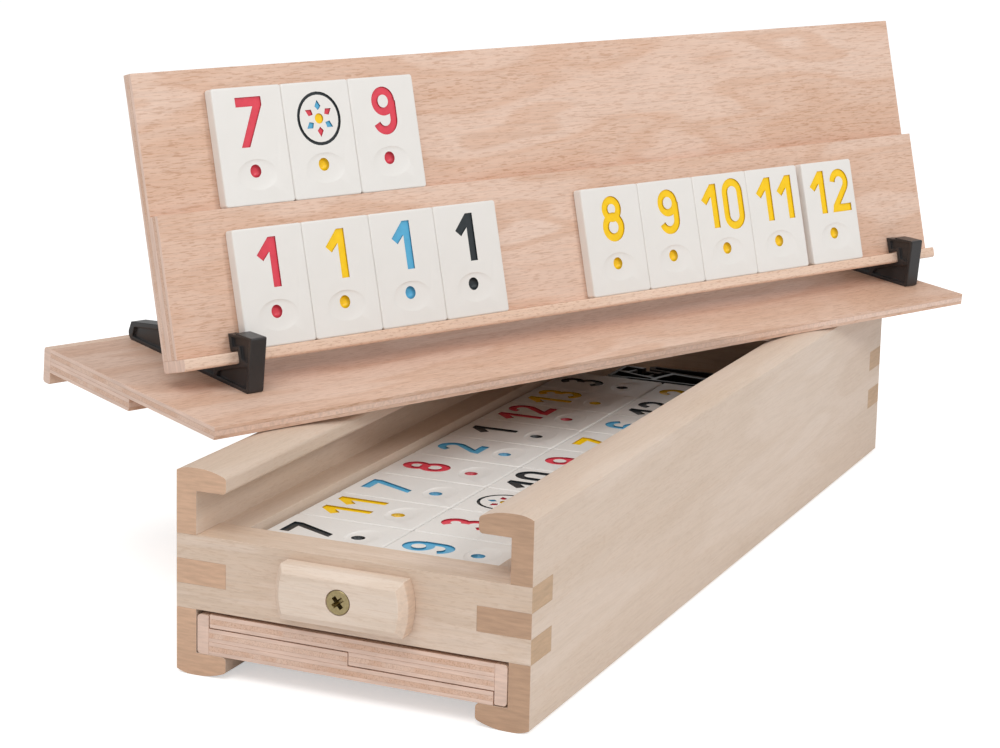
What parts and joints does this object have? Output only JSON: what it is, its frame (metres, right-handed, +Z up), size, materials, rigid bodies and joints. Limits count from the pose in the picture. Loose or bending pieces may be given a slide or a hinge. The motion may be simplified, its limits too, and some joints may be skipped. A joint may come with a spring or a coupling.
{
  "type": "rummy tile case",
  "caption": "Wooden tile case with grooved walls that hold nested slide-out racks, a turn button at the front, tiles inside, and racks in use on top, held up by clip-on feet.",
  "frame": {"origin": "bottom centre of the bounding box of the whole arrangement, on the plane the case rests on", "axes": "+Z up, +Y from the case's front end with the turn button to its rear end, +X to the right seen from the front"},
  "size_m": [0.2332, 0.397, 0.1672],
  "materials": {
    "wall_wood": "fine sanded, clear matt lacquer",
    "panel_wood": "fine sanded, clear matt lacquer",
    "floor_plywood": "sanded",
    "button_wood": "fine sanded, clear matt lacquer",
    "rack_plywood": "fine sanded, clear matt lacquer",
    "ledge_wood": "fine sanded, clear matt lacquer",
    "screw_metal": "dull plated",
    "tile_plastic": "smooth, softly glossy",
    "foot_plastic": "satin moulded"
  },
  "bodies": {
    "case": {"left_wall": "wall_wood", "right_wall": "wall_wood", "front_panel": "panel_wood", "rear_panel": "panel_wood", "floor_board": "floor_plywood", "button_screw": "screw_metal"},
    "turn_button": {"turn_button": "button_wood"},
    "bottom_rack": {"bottom_rack_back_board": "rack_plywood", "bottom_rack_step_board": "rack_plywood", "bottom_rack_ledge_strip": "ledge_wood"},
    "middle_rack": {"middle_rack_back_board": "rack_plywood", "middle_rack_step_board": "rack_plywood", "middle_rack_ledge_strip": "ledge_wood"},
    "lying_rack": {"lying_rack_back_board": "rack_plywood", "lying_rack_step_board": "rack_plywood", "lying_rack_ledge_strip": "ledge_wood"},
    "standing_rack": {"standing_rack_back_board": "rack_plywood", "standing_rack_step_board": "rack_plywood", "standing_rack_ledge_strip": "ledge_wood"},
    "upper_tile_1": {"upper_tile_1": "tile_plastic"},
    "upper_tile_2": {"upper_tile_2": "tile_plastic"},
    "upper_tile_3": {"upper_tile_3": "tile_plastic"},
    "left_tile_1": {"left_tile_1": "tile_plastic"},
    "left_tile_2": {"left_tile_2": "tile_plastic"},
    "left_tile_3": {"left_tile_3": "tile_plastic"},
    "left_tile_4": {"left_tile_4": "tile_plastic"},
    "right_tile_1": {"right_tile_1": "tile_plastic"},
    "right_tile_2": {"right_tile_2": "tile_plastic"},
    "right_tile_3": {"right_tile_3": "tile_plastic"},
    "right_tile_4": {"right_tile_4": "tile_plastic"},
    "last_tile_1": {"last_tile_1": "tile_plastic"},
    "left_foot": {"left_foot": "foot_plastic"},
    "right_foot": {"right_foot": "foot_plastic"},
    "spare_feet": {"spare_feet": "foot_plastic"},
    "tile_stack": {"tile_stack": "tile_plastic"},
    "left_tile_column": {"left_tile_column": "tile_plastic"},
    "right_tile_column": {"right_tile_column": "tile_plastic"}
  },
  "joints": [
    {"name": "button_turn", "type": "hinge", "parent": "case", "child": "turn_button", "pos_m": [0.02905, -0.19154, 0.03165], "axis": [0, 1, 0], "range_deg": [-90, 0]},
    {"name": "bottom_rack_slide", "type": "slide", "parent": "case", "child": "bottom_rack", "axis": [0, -1, 0], "range_m": [0, 0.3]},
    {"name": "middle_rack_slide", "type": "slide", "parent": "case", "child": "middle_rack", "axis": [0, -1, 0], "range_m": [0, 0.3]},
    {"name": "lying_rack_lift", "type": "slide", "parent": "case", "child": "lying_rack", "axis": [0, 0, 1], "range_m": [0, 0.2]},
    {"name": "standing_rack_lift", "type": "slide", "parent": "lying_rack", "child": "standing_rack", "axis": [0, 0, 1], "range_m": [0, 0.1]},
    {"name": "left_foot_slide", "type": "slide", "parent": "standing_rack", "child": "left_foot", "axis": [0.4313, 0.9022, -0.0026], "range_m": [-0.018, 0]},
    {"name": "right_foot_slide", "type": "slide", "parent": "standing_rack", "child": "right_foot", "axis": [0.4313, 0.9022, -0.0026], "range_m": [-0.015, 0.012]},
    {"name": "upper_tile_1_lift", "type": "slide", "parent": "standing_rack", "child": "upper_tile_1", "axis": [0.4642, -0.2195, 0.8581], "range_m": [0, 0.045]},
    {"name": "upper_tile_2_lift", "type": "slide", "parent": "standing_rack", "child": "upper_tile_2", "axis": [0.4642, -0.2195, 0.8581], "range_m": [0, 0.045]},
    {"name": "upper_tile_3_lift", "type": "slide", "parent": "standing_rack", "child": "upper_tile_3", "axis": [0.4642, -0.2195, 0.8581], "range_m": [0, 0.045]},
    {"name": "left_tile_1_lift", "type": "slide", "parent": "standing_rack", "child": "left_tile_1", "axis": [-0.2188, 0.1074, 0.9698], "range_m": [0, 0.045]},
    {"name": "left_tile_2_lift", "type": "slide", "parent": "standing_rack", "child": "left_tile_2", "axis": [0.4642, -0.2195, 0.8581], "range_m": [0, 0.045]},
    {"name": "left_tile_3_lift", "type": "slide", "parent": "standing_rack", "child": "left_tile_3", "axis": [0.4642, -0.2195, 0.8581], "range_m": [0, 0.045]},
    {"name": "left_tile_4_lift", "type": "slide", "parent": "standing_rack", "child": "left_tile_4", "axis": [0.4642, -0.2195, 0.8581], "range_m": [0, 0.045]},
    {"name": "right_tile_1_lift", "type": "slide", "parent": "standing_rack", "child": "right_tile_1", "axis": [0.4642, -0.2195, 0.8581], "range_m": [0, 0.045]},
    {"name": "right_tile_2_lift", "type": "slide", "parent": "standing_rack", "child": "right_tile_2", "axis": [0.4642, -0.2195, 0.8581], "range_m": [0, 0.045]},
    {"name": "right_tile_3_lift", "type": "slide", "parent": "standing_rack", "child": "right_tile_3", "axis": [0.4642, -0.2195, 0.8581], "range_m": [0, 0.045]},
    {"name": "right_tile_4_lift", "type": "slide", "parent": "standing_rack", "child": "right_tile_4", "axis": [0.4642, -0.2195, 0.8581], "range_m": [0, 0.045]},
    {"name": "last_tile_1_lift", "type": "slide", "parent": "standing_rack", "child": "last_tile_1", "axis": [0.4642, -0.2195, 0.8581], "range_m": [0, 0.045]},
    {"name": "tile_stack_lift", "type": "slide", "parent": "case", "child": "tile_stack", "axis": [0, 0, 1], "range_m": [0, 0.015]},
    {"name": "left_column_lift", "type": "slide", "parent": "tile_stack", "child": "left_tile_column", "axis": [0, 0, 1], "range_m": [0, 0.02]},
    {"name": "right_column_lift", "type": "slide", "parent": "tile_stack", "child": "right_tile_column", "axis": [0, 0, 1], "range_m": [0, 0.02]},
    {"name": "spare_feet_lift", "type": "slide", "parent": "case", "child": "spare_feet", "axis": [0, 0, 1], "range_m": [0, 0.02]}
  ]
}
